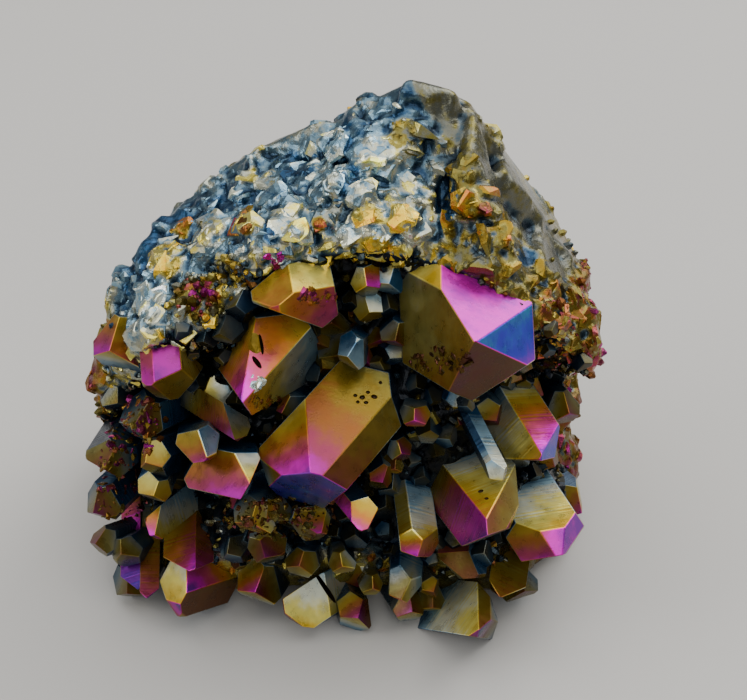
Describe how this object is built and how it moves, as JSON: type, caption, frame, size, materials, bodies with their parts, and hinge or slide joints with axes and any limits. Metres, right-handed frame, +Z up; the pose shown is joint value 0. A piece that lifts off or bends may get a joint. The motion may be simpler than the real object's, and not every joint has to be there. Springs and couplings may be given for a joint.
{
  "type": "quartz crystal cluster",
  "caption": "Titanium-coated quartz cluster: pointed six-sided crystals crowded on the front of a broken lump of rock that stands on its flat foot.",
  "frame": {"origin": "centre of the bounding box in X and Y, on the flat foot that the cluster stands on", "axes": "+Z up from the foot; the crystals face -Y and the broken back is at +Y; +X is to the right of someone looking at the crystals"},
  "size_m": [0.0869, 0.0695, 0.0814],
  "materials": {
    "coated_quartz": "opaque iridescent metal film, gold through magenta to blue, semi-gloss"
  },
  "bodies": {
    "root": {"quartz_cluster": "coated_quartz"}
  },
  "joints": []
}
